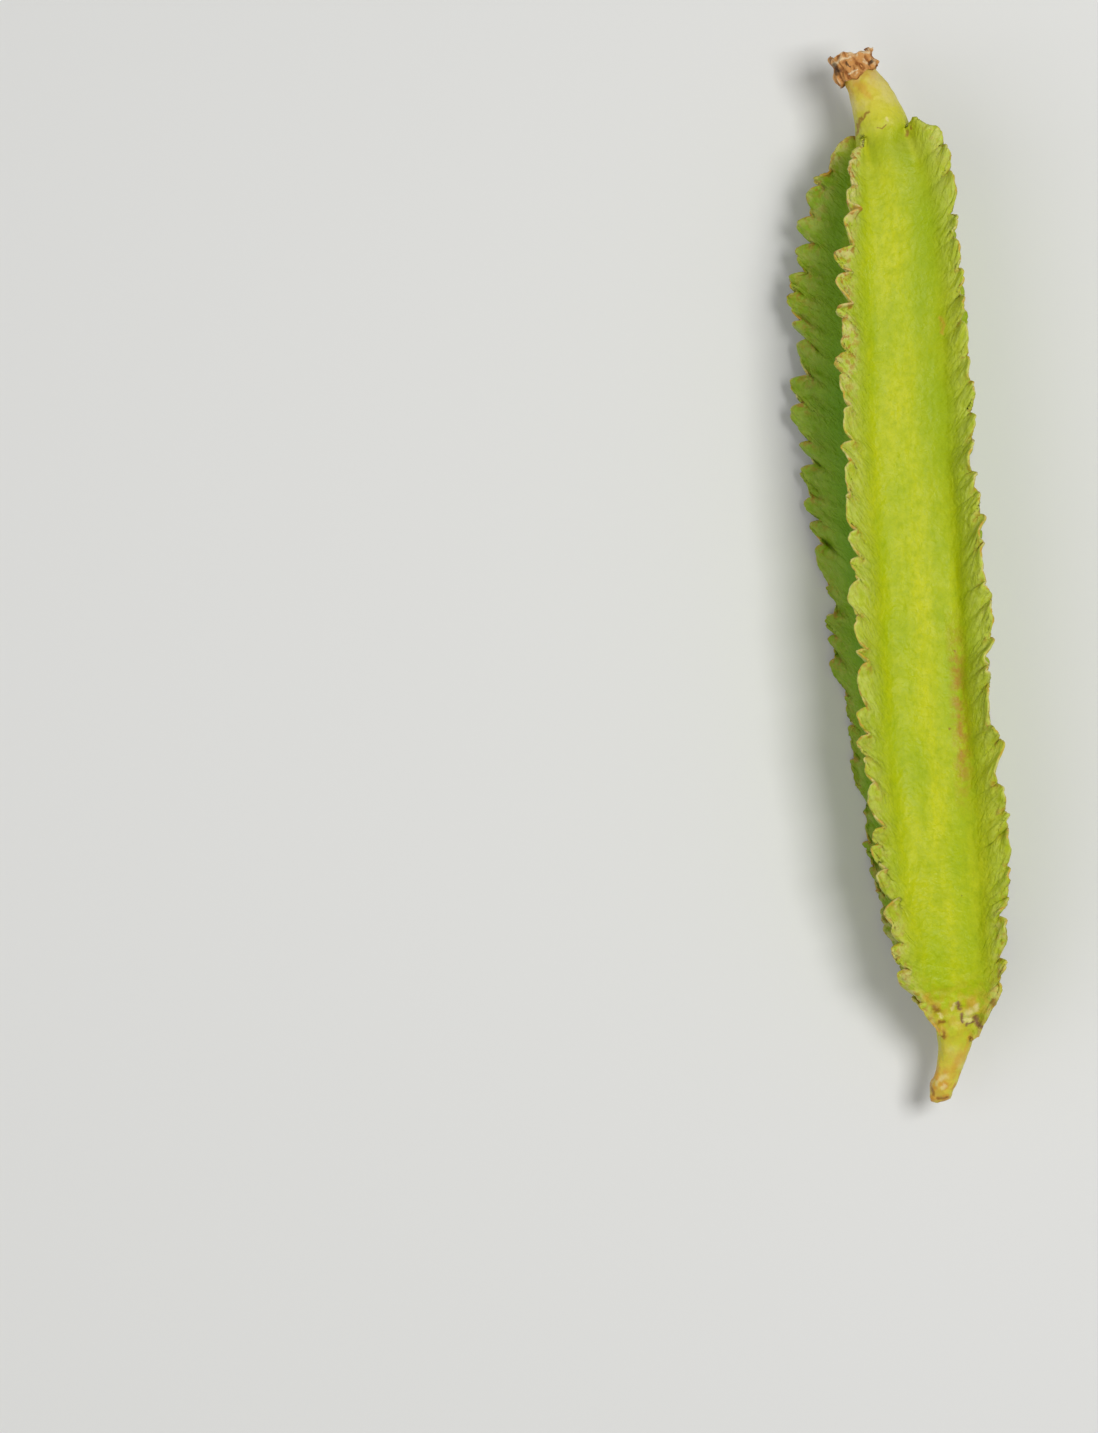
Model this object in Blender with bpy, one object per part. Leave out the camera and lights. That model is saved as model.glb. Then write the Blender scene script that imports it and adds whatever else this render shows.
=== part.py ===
"""A winged bean pod, as picked, lying on the margins of its two lower wings.

The pod grew as one piece: a round, gently curved body with a bare neck at the stem end, a bare
beak at the other, and four frilled wings along it. It is one lofted skin whose section changes
along a curved spine. The dry, torn calyx that sits on the neck is the second piece.

Lengths are in millimetres until a mesh is made. The spine runs from the stem end (+Y) to the
beak (-Y). Angles in a section are in degrees from +X, anticlockwise, as seen from the beak.
"""

import random

import bpy
import numpy as np

MM = 0.001

# The spine: distance from the stem end, place across the pod, height above the table.
SPINE = [
    (-4, -8.9, 12.9),
    (0, -7.9, 12.9),
    (2.2, -7.1, 12.9),
    (4.6, -5.7, 12.9),
    (7, -4.6, 12.9),
    (12, -3.1, 12.9),
    (20, -1.7, 12.9),
    (32, -0.6, 12.8),
    (50, 0.4, 12.5),
    (72, 1.7, 11.9),
    (95, 3.2, 11.3),
    (112, 4.7, 10.9),
    (124, 6.1, 10.5),
    (134, 7.3, 10.0),
    (142, 7.6, 9.4),
    (146.5, 7.2, 8.9),
    (149.5, 6.4, 8.4),
    (153.5, 4.8, 7.8),
]

# The body's radius at its corners, where the wings stand, by distance from the stem end.
BODY_RADIUS = [
    (-4, 2.5),
    (2.6, 2.5),
    (3.6, 2.7),
    (4.6, 2.95),
    (6.6, 3.3),
    (8.2, 3.6),
    (11, 4.2),
    (18, 5.2),
    (30, 6.3),
    (50, 6.9),
    (75, 7.3),
    (95, 7.4),
    (112, 7.0),
    (124, 6.0),
    (134, 4.6),
    (142, 3.4),
    (146.5, 2.3),
    (149.5, 1.85),
    (153.5, 1.8),
]
# How far out the middle of a face between two wings stands, against the corners' radius.
FACE_SHARE = [
    (12, 1.0),
    (26, 0.87),
    (50, 0.86),
    (115, 0.86),
    (128, 0.88),
    (142, 1.0),
]

# Each wing: distance, root angle on the body, direction it leaves in, bend to its margin, width.
UPPER_RIGHT = [
    (12, 33, 46, -12, 4.8),
    (15, 33, 49, -18, 5.6),
    (20, 33, 53, -24, 5.9),
    (32, 34, 62, -34, 5.8),
    (55, 35, 72, -38, 6.6),
    (80, 36, 78, -36, 7.8),
    (100, 37, 76, -32, 8.0),
    (120, 38, 68, -28, 7.7),
    (132, 40, 60, -20, 6.6),
    (139, 40, 54, -14, 4.6),
    (143, 40, 48, -6, 0.8),
]
UPPER_LEFT = [
    (12, 142, 116, 10, 0.9),
    (18, 143, 110, 22, 4.0),
    (28, 144, 106, 32, 6.6),
    (50, 145, 103, 36, 7.6),
    (80, 144, 104, 36, 8.0),
    (105, 143, 108, 34, 7.8),
    (124, 140, 114, 28, 7.4),
    (132, 138, 122, 20, 6.0),
    (138, 136, 130, 10, 2.8),
    (143, 134, 134, 4, 0.7),
]
LOWER_LEFT = [
    (12, 208, 184, 4, 2.4),
    (18, 209, 185, 8, 6.4),
    (30, 211, 187, 14, 10.4),
    (48, 213, 190, 16, 11.9),
    (66, 216, 200, 16, 11.3),
    (84, 219, 214, 12, 10.2),
    (100, 221, 222, 8, 9.2),
    (122, 222, 226, 6, 8.8),
    (134, 222, 222, 4, 6.4),
    (140, 222, 218, 4, 3.4),
    (143, 222, 216, 2, 0.8),
]
LOWER_RIGHT = [
    (12, 314, 304, -6, 1.4),
    (18, 314, 304, -8, 6.2),
    (30, 314, 304, -8, 9.4),
    (50, 314, 304, -8, 9.3),
    (75, 315, 306, -8, 8.5),
    (100, 316, 308, -8, 8.0),
    (122, 317, 311, -8, 7.9),
    (133, 318, 314, -6, 6.2),
    (139, 318, 315, -4, 3.2),
    (143, 318, 316, -2, 0.8),
]
WINGS = [UPPER_RIGHT, UPPER_LEFT, LOWER_LEFT, LOWER_RIGHT]  # in order round the body

# Frills: the teeth of each wing's margin, and the puckers that run in from the notches.
WING_START = 12.2
WING_END = 142.6
TEETH = 31
TOOTH_PITCH = (WING_END - WING_START) / TEETH
TOOTH_JITTER = 0.34  # how far a notch strays from its even place, in teeth
NOTCH_DEPTH = (0.08, 0.24)  # least and most, as a share of the wing's width
LOBE_REACH = 0.05  # how much longer or shorter a lobe may be
LOBE_BULGE = (0.3, 0.9)  # how far a lobe puffs out of the wing's sheet
LOBE_TILT = 0.6
LEAN = 0.35  # how far the margin is pushed towards the stem, as a share of the wing's width
SET_BACK = (2.4, 0.4, 0.6, 0.6)  # how far each wing's first notch is set back at the margin
SET_BACK_TEETH = 1.2
EDGE_THICKNESS = 0.75
ROOT_SHARE = 0.26  # a wing's thickness where it leaves the body, as a share of the radius
SWAY = 5.0  # degrees by which a wing wanders up and down along the pod
SWAY_WAVES = (31.0, 17.0)

SHARP_ANGLE = 60.0  # edges sharper than this are shaded as edges

# The skin's grid: rings for each tooth, rows from a wing's root to its margin.
RING_PHASES = (0.0, 0.16, 0.45, 0.78)
WING_ROWS = (0.0, 0.5, 1.0)
FACE_STEPS = (0.25, 0.5, 0.75)
ROOT_FAN = 19.0  # degrees either side of a wing's root that its rows take up on the bare neck
NECK_RINGS = (1.6, 3.2, 5.2, 7.4, 9.6, 11.2)
BEAK_RINGS = ((144, 1.0), (146, 1.0), (148, 1.0), (149.8, 1.0), (151.6, 1.0), (152.9, 0.9), (153.5, 0.55))

# The calyx: a dry, torn cup round the neck's end. Each row is distance, radius, raggedness.
NECK_GAP = 0.32
CALYX_SIDES = 20
SOCKET_FLOOR = 1.6 - NECK_GAP
CALYX_PROFILE = [
    (SOCKET_FLOOR, 2.0, 0.0),
    (SOCKET_FLOOR + 0.05, 2.85, 0.0),
    (2.6, 2.95, 0.3),
    (2.8, 3.25, 0.6),
    (1.9, 3.4, 0.4),
    (0.9, 3.15, 0.2),
    (0.1, 3.3, 0.7),
    (-0.4, 3.15, 1.0),
    (-0.25, 2.6, 0.9),
    (0.4, 2.3, 0.3),
    (0.6, 1.3, 0.1),
]
CALYX_TEAR = 0.6  # how far the torn rim strays along the spine
CALYX_WRINKLE = 0.3


def smooth(table, s, column=1):
    """One column of a table at the distances s, on a smooth curve through its rows."""
    knots = np.array([row[0] for row in table], float)
    values = np.array([row[column] for row in table], float)
    slopes = np.gradient(values, knots)
    s = np.clip(s, knots[0], knots[-1])
    i = np.clip(np.searchsorted(knots, s, side="right") - 1, 0, len(knots) - 2)
    gap = knots[i + 1] - knots[i]
    f = (s - knots[i]) / gap
    return (
        values[i] * (1 + 2 * f) * (1 - f) ** 2
        + values[i + 1] * f**2 * (3 - 2 * f)
        + gap * (slopes[i] * f * (1 - f) ** 2 - slopes[i + 1] * f**2 * (1 - f))
    )


def spine_point(s):
    """The spine at the distances s."""
    return np.stack([smooth(SPINE, s, 1), -np.asarray(s, float), smooth(SPINE, s, 2)], axis=-1)


def unit(vectors):
    """The vectors, each of length one."""
    return vectors / np.linalg.norm(vectors, axis=-1, keepdims=True)


def in_section(s, across, above):
    """Points of the sections at the distances s, from their places across and above the spine."""
    step = 0.25
    along = unit(spine_point(s + step) - spine_point(s - step))
    right = unit(np.cross([0.0, 0.0, 1.0], along))
    up = np.cross(along, right)
    return spine_point(s) + across[..., None] * right + above[..., None] * up


def on_body(s, degrees, share=1.0):
    """Points on the body's skin at the distances s, in the directions given."""
    angle = np.radians(degrees)
    radius = smooth(BODY_RADIUS, s) * share
    return in_section(s, radius * np.cos(angle), radius * np.sin(angle))


def make_frills(wing):
    """The random sizes of one wing's teeth, the same on every run."""
    draw = random.Random(41 + wing)
    count = TEETH + 2
    return {
        "jitter": np.array([draw.uniform(-TOOTH_JITTER, TOOTH_JITTER) for _ in range(count)]),
        "depth": np.array([draw.uniform(*NOTCH_DEPTH) for _ in range(count)]),
        "reach": np.array([draw.uniform(-LOBE_REACH, LOBE_REACH) for _ in range(count)]),
        "bulge": np.array([draw.uniform(*LOBE_BULGE) for _ in range(count)]),
        "tilt": np.array([draw.uniform(-LOBE_TILT, LOBE_TILT) for _ in range(count)]),
        "phase": [draw.uniform(0, 2 * np.pi) for _ in SWAY_WAVES],
    }


def wing_sheet(wing, q, v):
    """The middle sheet of a wing: points at tooth counts q along it and at rows v across it.

    A tooth starts at a deep notch on its stem side, steps out to a round lobe, and falls back
    slowly towards the beak. The notches run on into the sheet as furrows between puffed lobes.
    """
    frills = make_frills(wing)
    table = WINGS[wing]
    q = np.asarray(q, float)[:, None]
    v = np.asarray(v, float)[None, :]
    tooth = np.minimum(q.astype(int), TEETH)
    u = q - tooth
    start = WING_START + q * TOOTH_PITCH
    before = tooth + frills["jitter"][tooth]
    after = tooth + 1 + frills["jitter"][tooth + 1]
    margin = WING_START + TOOTH_PITCH * (before + (after - before) * u**1.4)
    width = smooth(table, start, 4)
    set_back = SET_BACK[wing] * np.exp(-q / SET_BACK_TEETH)
    s = start + (margin - start + set_back) * v**2 - LEAN * width * v**1.5

    stem_side = (1 - np.clip(u / 0.3, 0, 1)) ** 2
    beak_side = np.clip((u - 0.4) / 0.6, 0, 1) ** 2
    notch = frills["depth"][tooth] * stem_side + frills["depth"][tooth + 1] * beak_side
    lobe = np.sin(np.pi * u)
    reach = width * (v + frills["reach"][tooth] * lobe * v**2 - notch * v**3)

    puff = v**1.6 * np.clip(width / 6, 0, 1)
    bulge = frills["bulge"][tooth]
    drop = bulge + (frills["bulge"][tooth + 1] - bulge) * u
    out = puff * (bulge * lobe - drop / 2 + frills["tilt"][tooth] * np.sin(2 * np.pi * u))
    sway = sum(np.sin(2 * np.pi * start / wave + p) for wave, p in zip(SWAY_WAVES, frills["phase"]))
    root = np.radians(smooth(table, start, 1))
    bend = np.radians(smooth(table, start, 3)) * v
    heading = np.radians(smooth(table, start, 2) + SWAY * sway * 0.5) + bend / 2
    chord = reach * np.sinc(bend / 2 / np.pi)
    radius = smooth(BODY_RADIUS, start) * 0.97
    normal = heading + bend / 2 + np.pi / 2
    across = radius * np.cos(root) + chord * np.cos(heading) + out * np.cos(normal)
    above = radius * np.sin(root) + chord * np.sin(heading) + out * np.sin(normal)
    return in_section(s, across, above)


def wing_sides(wing, q, v):
    """The two faces of a wing's blade, which thickens to its root: clockwise side, other side."""
    sheet = wing_sheet(wing, q, v)
    normal = unit(np.cross(np.gradient(sheet, axis=1), np.gradient(sheet, axis=0)))
    v = np.asarray(v, float)[None, :]
    start = WING_START + np.asarray(q, float)[:, None] * TOOTH_PITCH
    root_thickness = ROOT_SHARE * smooth(BODY_RADIUS, start)
    thickness = EDGE_THICKNESS + (root_thickness - EDGE_THICKNESS) * (1 - v) ** 2.5
    half = normal * thickness[..., None] / 2
    return sheet + half, sheet - half


def face_points(wing, s):
    """The body's skin between a wing's root and the next one's."""
    left = np.degrees(np.arcsin(ROOT_SHARE / 2))
    following = (wing + 1) % len(WINGS)
    first = smooth(WINGS[wing], s, 1) + left
    last = smooth(WINGS[following], s, 1) - left + (360 if following == 0 else 0)
    points = []
    for step in FACE_STEPS:
        share = 1 - (1 - smooth(FACE_SHARE, s)) * np.sin(np.pi * step)
        points.append(on_body(s, first + (last - first) * step, share))
    return np.stack(points, axis=1)


def bare_ring(s, share=1.0):
    """A plain round ring of the neck or beak, with its points in step with the winged rings'."""
    s = np.array([s], float)
    rows = len(WING_ROWS)
    columns = []
    for wing, table in enumerate(WINGS):
        root = smooth(table, s, 1)
        for offset in np.linspace(-ROOT_FAN, ROOT_FAN, 2 * rows):
            columns.append(on_body(s, root + offset, share))
        following = (wing + 1) % len(WINGS)
        last = smooth(WINGS[following], s, 1) - ROOT_FAN + (360 if following == 0 else 0)
        for step in FACE_STEPS:
            columns.append(on_body(s, (root + ROOT_FAN) * (1 - step) + last * step, share))
    return np.concatenate(columns)


def winged_rings():
    """The rings of the winged stretch, each one closed outline round the body and its blades."""
    q = np.array([tooth + phase for tooth in range(TEETH) for phase in RING_PHASES] + [TEETH])
    s = WING_START + q * TOOTH_PITCH
    columns = []
    for wing in range(len(WINGS)):
        near, far = wing_sides(wing, q, WING_ROWS)
        columns += [near, far[:, ::-1], face_points(wing, s)]
    return list(np.concatenate(columns, axis=1))


def pod_rings():
    """Every ring of the pod from the neck's end to the beak, lying on the table at height 0."""
    neck = [bare_ring(s) for s in NECK_RINGS]
    beak = [bare_ring(s, share) for s, share in BEAK_RINGS]
    rings = np.array(neck + winged_rings() + beak)
    rings[..., 2] = np.maximum(rings[..., 2], 0.0)
    return rings


def flipped_columns():
    """The columns whose quads split the other way, so that both faces of a blade split alike."""
    rows = len(WING_ROWS)
    one_wing = [False] * rows + [True] * rows + [False] * len(FACE_STEPS)
    return one_wing * len(WINGS)


def calyx_rings():
    """The rings of the calyx, from its socket, round its outside and torn rim, to its scar."""
    draw = random.Random(7)
    degrees = np.arange(CALYX_SIDES) * 360 / CALYX_SIDES
    tear = np.array([draw.uniform(-1, 1) for _ in degrees])
    fold = np.array([draw.uniform(-1, 1) for _ in degrees])
    rings = []
    for s, radius, ragged in CALYX_PROFILE:
        places = s + CALYX_TEAR * tear * ragged
        radii = radius + CALYX_WRINKLE * fold * ragged
        angle = np.radians(degrees)
        rings.append(in_section(places, radii * np.cos(angle), radii * np.sin(angle)))
    return np.array(rings)


def loft(name, rings, material, flipped=None):
    """A closed mesh through rings of equally many points, with a fan over each end ring."""
    count, sides = rings.shape[:2]
    flipped = flipped or [False] * sides
    points = [*rings.reshape(-1, 3), rings[0].mean(axis=0), rings[-1].mean(axis=0)]
    faces = []
    for ring in range(count - 1):
        for side in range(sides):
            a, b = ring * sides + side, ring * sides + (side + 1) % sides
            c, d = b + sides, a + sides
            faces += [(a, b, d), (b, c, d)] if flipped[side] else [(a, b, c), (a, c, d)]
    last_ring = (count - 1) * sides
    for side in range(sides):
        following = (side + 1) % sides
        faces.append((count * sides, following, side))
        faces.append((count * sides + 1, last_ring + side, last_ring + following))
    mesh = bpy.data.meshes.new(name)
    mesh.from_pydata([tuple(point * MM) for point in points], [], faces)
    mesh.shade_smooth()
    mesh.set_sharp_from_angle(angle=np.radians(SHARP_ANGLE))
    mesh.materials.append(material)
    return bpy.data.objects.new(name, mesh)


def make_material(name, colour, roughness):
    """A plain finish with the piece's own colour."""
    material = bpy.data.materials.new(name)
    material.use_nodes = True
    shader = material.node_tree.nodes["Principled BSDF"]
    shader.inputs["Base Color"].default_value = (*colour, 1.0)
    shader.inputs["Roughness"].default_value = roughness
    shader.inputs["Metallic"].default_value = 0.0
    return material


def centre_over_origin(objects):
    """Slides the pieces along the table until the origin is under the middle of them all."""
    points = np.array([vertex.co for obj in objects for vertex in obj.data.vertices])
    middle = (points.min(axis=0) + points.max(axis=0)) / 2
    for obj in objects:
        obj.location = (-middle[0], -middle[1], 0.0)


def main():
    for obj in list(bpy.data.objects):
        bpy.data.objects.remove(obj)
    collection = bpy.data.collections.new("winged_bean")
    bpy.context.scene.collection.children.link(collection)
    green = make_material("pod_green", (0.42, 0.52, 0.04), 0.5)
    brown = make_material("calyx_brown", (0.33, 0.16, 0.07), 0.85)
    pieces = [
        loft("pod", pod_rings(), green, flipped_columns()),
        loft("calyx", calyx_rings()[::-1], brown),
    ]
    for piece in pieces:
        collection.objects.link(piece)
    centre_over_origin(pieces)


main()
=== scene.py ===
"""The looks of a winged bean pod, as picked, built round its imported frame.

The pod and its dry calyx are each rebuilt as one fine mesh, on the same formulas as the frame's
solids: a skin lofted round a curved spine, with four frilled wings. The fine meshes add soft hollows
at the wings' roots, thin beaded margins, puckers, furrows and the withered skin of both ends.

Lengths are in millimetres until a mesh is made. The spine runs from the stem end (+Y) to the
beak (-Y). Angles in a section are in degrees from +X, anticlockwise, as seen from the beak.
"""

import random

import bpy
import numpy as np
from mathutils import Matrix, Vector, noise


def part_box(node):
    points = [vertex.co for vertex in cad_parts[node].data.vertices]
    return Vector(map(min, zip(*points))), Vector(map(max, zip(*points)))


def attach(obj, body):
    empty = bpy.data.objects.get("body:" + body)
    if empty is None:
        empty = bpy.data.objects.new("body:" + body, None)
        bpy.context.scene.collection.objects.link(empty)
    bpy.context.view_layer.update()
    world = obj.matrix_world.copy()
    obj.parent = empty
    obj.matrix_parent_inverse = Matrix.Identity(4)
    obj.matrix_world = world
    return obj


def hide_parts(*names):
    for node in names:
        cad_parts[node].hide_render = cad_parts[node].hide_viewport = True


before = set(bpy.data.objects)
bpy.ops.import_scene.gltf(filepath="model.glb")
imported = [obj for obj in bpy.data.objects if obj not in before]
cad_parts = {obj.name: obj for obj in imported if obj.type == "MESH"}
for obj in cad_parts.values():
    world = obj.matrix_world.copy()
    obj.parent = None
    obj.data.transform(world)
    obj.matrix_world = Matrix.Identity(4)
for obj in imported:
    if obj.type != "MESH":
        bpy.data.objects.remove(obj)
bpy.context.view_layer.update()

MM = 0.001

# The view: straight down over the middle of a photograph of this size and scale.
PHOTO_SIZE = (1098, 1433)
PIXEL = 0.147
STEM_PIXEL = (905, 58)  # where the spine's own zero lies in the photograph
CAMERA_HEIGHT = 1200.0
SIZE_PLANE = 12.0  # the height at which a pixel has that scale
SENSOR = 36.0

# The spine: distance from the stem end, place across the pod, height above the table.
SPINE = [
    (-4, -8.9, 12.9), (0, -7.9, 12.9), (2.2, -7.1, 12.9), (4.6, -5.7, 12.9), (7, -4.6, 12.9),
    (12, -3.1, 12.9), (20, -1.7, 12.9), (32, -0.6, 12.8), (50, 0.4, 12.5), (72, 1.7, 11.9),
    (95, 3.2, 11.3), (112, 4.7, 10.9), (124, 6.1, 10.5), (134, 7.3, 10.0), (142, 7.6, 9.4),
    (146.5, 7.2, 8.9), (149.5, 6.4, 8.4), (153.5, 4.8, 7.8),
]

# The body's radius at its corners, where the wings stand, by distance from the stem end.
BODY_RADIUS = [
    (-4, 2.5), (2.6, 2.5), (3.6, 2.7), (4.6, 2.95), (6.6, 3.3), (8.2, 3.6), (11, 4.2), (18, 5.2),
    (30, 6.3), (50, 6.9), (75, 7.3), (95, 7.4), (112, 7.0), (124, 6.0), (134, 4.6), (142, 3.4),
    (146.5, 2.3), (149.5, 1.85), (153.5, 1.8),
]
# How far out the middle of a face between two wings stands, against the corners' radius.
FACE_SHARE = [
    (12, 1.0), (26, 0.87), (50, 0.86), (115, 0.86), (128, 0.88), (142, 1.0),
]

# Each wing: distance, root angle on the body, direction it leaves in, bend to its margin, width.
UPPER_RIGHT = [
    (12, 33, 46, -12, 4.8), (15, 33, 49, -18, 5.6), (20, 33, 53, -24, 5.9), (32, 34, 62, -34, 5.8),
    (55, 35, 72, -38, 6.6), (80, 36, 78, -36, 7.8), (100, 37, 76, -32, 8.0), (120, 38, 68, -28, 7.7),
    (132, 40, 60, -20, 6.6), (139, 40, 54, -14, 4.6), (143, 40, 48, -6, 0.8),
]
UPPER_LEFT = [
    (12, 142, 116, 10, 0.9), (18, 143, 110, 22, 4.0), (28, 144, 106, 32, 6.6), (50, 145, 103, 36, 7.6),
    (80, 144, 104, 36, 8.0), (105, 143, 108, 34, 7.8), (124, 140, 114, 28, 7.4),
    (132, 138, 122, 20, 6.0), (138, 136, 130, 10, 2.8), (143, 134, 134, 4, 0.7),
]
LOWER_LEFT = [
    (12, 208, 184, 4, 2.4), (18, 209, 185, 8, 6.4), (30, 211, 187, 14, 10.4), (48, 213, 190, 16, 11.9),
    (66, 216, 200, 16, 11.3), (84, 219, 214, 12, 10.2), (100, 221, 222, 8, 9.2),
    (122, 222, 226, 6, 8.8), (134, 222, 222, 4, 6.4), (140, 222, 218, 4, 3.4), (143, 222, 216, 2, 0.8),
]
LOWER_RIGHT = [
    (12, 314, 304, -6, 1.4), (18, 314, 304, -8, 6.2), (30, 314, 304, -8, 9.4), (50, 314, 304, -8, 9.3),
    (75, 315, 306, -8, 8.5), (100, 316, 308, -8, 8.0), (122, 317, 311, -8, 7.9),
    (133, 318, 314, -6, 6.2), (139, 318, 315, -4, 3.2), (143, 318, 316, -2, 0.8),
]
WINGS = [UPPER_RIGHT, UPPER_LEFT, LOWER_LEFT, LOWER_RIGHT]  # in order round the body

# Frills: the teeth of each wing's margin, and the puckers that run in from the notches.
WING_START = 12.2
WING_END = 142.6
TEETH = 31
FRILL_SEED = 41
TOOTH_PITCH = (WING_END - WING_START) / TEETH
TOOTH_JITTER = 0.34  # how far a notch strays from its even place, in teeth
TOOTH_SKEW = 1.4  # above 1, a tooth is drawn towards the stem
STEM_SLOPE = 0.3  # the share of a tooth in which it steps out from its notch
BEAK_SLOPE = 0.4  # where in a tooth its slow fall to the beak starts
NOTCH_DEPTH = (0.08, 0.24)  # least and most, as a share of the wing's width
LOBE_REACH = 0.05  # how much longer or shorter a lobe may be
LOBE_BULGE = (0.3, 0.9)  # how far a lobe puffs out of the wing's sheet
LOBE_TILT = 0.6
PUFF_POWER = 1.6
PUFF_WIDTH = 6.0  # the width from which lobes puff out fully
LEAN = 0.35  # how far the margin is pushed towards the stem, as a share of the wing's width
LEAN_POWER = 1.5
SET_BACK = (2.4, 0.4, 0.6, 0.6)  # how far each wing's first notch is set back at the margin
SET_BACK_TEETH = 1.2
EDGE_THICKNESS = 0.75
THICKNESS_POWER = 2.5
ROOT_SHARE = 0.26  # a wing's thickness at its root, as a share of the radius
ROOT_DEPTH = 0.97  # where its sheet starts, as a share of the radius
SWAY = 5.0  # degrees by which a wing wanders up and down along the pod
SWAY_WAVES = (31.0, 17.0)

# The bare neck and beak, by distance from the stem end.
NECK_START = 1.6
NECK_END = 11.0
BEAK_START = 143.7
TIP_START = 151.0
BEAK_END = 153.5
TIP_ROUNDING = 0.93  # how far the beak closes by its end

# The coarse grid of the frame's own solid, which tells where the frame's origin lies.
COARSE = {
    "phases": (0.0, 0.16, 0.45, 0.78),
    "rows": (0.0, 0.5, 1.0),
    "face": (0.25, 0.5, 0.75),
    "neck": (NECK_START, 3.2, 5.2, 7.4, 9.6, 11.2),
    "beak": (*((s, 1.0) for s in (144, 146, 148, 149.8, 151.6)), (152.9, 0.9), (BEAK_END, 0.55)),
    "fan": 19.0,
    "round_ends": 0,
    "fine": False,
}
# The fine grid: rings for each tooth, rows from a wing's root to its margin, steps across a face.
TOOTH_RINGS = 18
NECK_RINGS = 22
BEAK_RINGS = 26
FINE = {
    "phases": np.arange(TOOTH_RINGS) / TOOTH_RINGS,
    "rows": (0, 0.07, 0.15, 0.24, 0.34, 0.44, 0.54, 0.63, 0.71, 0.78, 0.84, 0.89, 0.93, 0.965, 0.99, 1),
    "face": (0.05, 0.13, 0.26, 0.42, 0.58, 0.74, 0.87, 0.95),
    "neck": np.linspace(NECK_START, NECK_END, NECK_RINGS),
    "beak": [
        (s, np.sqrt(1 - TIP_ROUNDING * np.clip((s - TIP_START) / (BEAK_END - TIP_START), 0, 1) ** 2))
        for s in np.linspace(BEAK_START, BEAK_END, BEAK_RINGS)
    ],
    "fan": np.degrees(np.arcsin(ROOT_SHARE / 2)),
    "round_ends": 5,
    "fine": True,
}
ROUND_TEETH = 0.24  # how far past its end notches a wing rounds off, in teeth
NEAR, FACE, FAR = 0.0, 0.5, 1.0  # a blade's clockwise side, the body, a blade's other side

# The fine blade, with a bead along its rim. Places and widths are shares of its width.
BLADE_THICKNESS = 0.42
BEAD_THICKNESS = 0.47
BEAD_PLACE = 0.95
BEAD_WIDTH = 0.035
RIM_THICKNESS = 0.15
RIM_WIDTH = 0.035

# Folds of the fine blade. A furrow runs in from a notch, towards the beak.
FOLD_START = 0.12
FOLD_WIDTH = 5.0  # the width from which its folds are full
FURROW_SLANT = 0.65  # how far a furrow moves along the pod for each step it runs in
FURROW_DEPTH = 0.34
FURROW_WIDTH = 0.5
RIB = (1.6, 0.08)  # pitch and height of the ribs between furrows
# Size along the pod, size across the wing, and height.
PUCKER = (0.8, 1.7, 0.29)
RUFFLE = (4.5, 9.0, 0.5)
WARP = (2.6, 1.8, 1.1)  # shifts ribs and puckers along the pod
# The upper right wing's ear: how far it stands up, its row, and its width to either side.
EAR = (1.9, 0.4, 0.13, 0.42)
EAR_DENT = (1.0, 0.12, 0.09)  # depth, row and width of the dent between the ear and the neck
EAR_TEETH = 0.6  # how far both run along the pod
GROW = (0.16, 0.5, 0.2, 0.08)  # how much wider each fine wing is by its end at the beak
GROW_STRETCH = (128, 136)  # the distances between which it widens
FLOOR_GAP = 0.26  # the least height of a blade's middle over the floor
FLOOR_SOFTNESS = 0.06  # how softly it bends to that height
SKIN_GAP = 0.02  # the least height of the skin itself
# How many times deeper each fine wing's notches are than its solid's, by distance.
DEEPER = [
    [(12, 2.0), (40, 1.9), (62, 1.2), (102, 1.1), (114, 1.5), (137, 2.2)],
    [(12, 1.7), (44, 1.4), (60, 1.0), (102, 1.0), (114, 1.7), (137, 2.3)],
    [(12, 1.2), (126, 1.0), (137, 2.2)],
    [(12, 1.0), (126, 1.0), (137, 1.8)],
]
# How crumpled and torn each wing's margin is, by distance from the stem end: 0 to 1.
FRAY = [
    [(12, 0.5), (22, 0.1), (60, 0.0), (122, 0.1), (134, 0.6)],
    [(12, 1.0), (44, 1.0), (56, 0.2), (90, 0.1), (122, 0.3), (134, 0.7)],
    [(12, 0.8), (26, 0.3), (60, 0.1), (118, 0.2), (132, 0.8)],
    [(12, 0.5), (22, 0.1), (60, 0.0), (118, 0.1), (132, 0.3)],
]
# Degrees by which each fine wing turns from its solid's, by distance from the stem end.
TURN = [
    [(12, 5), (22, 4), (50, 2.5), (76, 2), (87, -1.5), (96, 1.5), (112, 1), (124, -3), (134, -3), (140, 0)],
    [(12, 0), (18, 6), (55, 6), (70, 1), (90, 0), (108, 2), (118, 8), (130, 12), (136, 11)],
    [(12, 0)],
    [(12, 0), (20, -3), (110, -3), (130, 0)],
]
CURL = 0.55  # how far the outer third of a blade rolls up or down
CURL_START = 0.65
CURL_TORN = 2.0  # how much further it rolls where the margin is torn
CURL_WAVES = (5.5, 3.0)  # the length of its waves on a whole and on a torn margin
NIBBLE = (0.9, 0.12)  # over what length the margin strays, and how far
SMALL_TEETH = (1.9, 0.42)  # pitch and depth of the teeth between the notches
SMALL_SLOPE = 0.25
SMALL_STRAY = (3.5, 0.7)  # over what length they stray, and by how many teeth
SMALL_CHANGE = 2.7  # over what length their depth varies
SMALL_WIDTH = 3.0  # the width from which they are full
MARGIN_POWER = 6  # how close to the margin they stay

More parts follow.
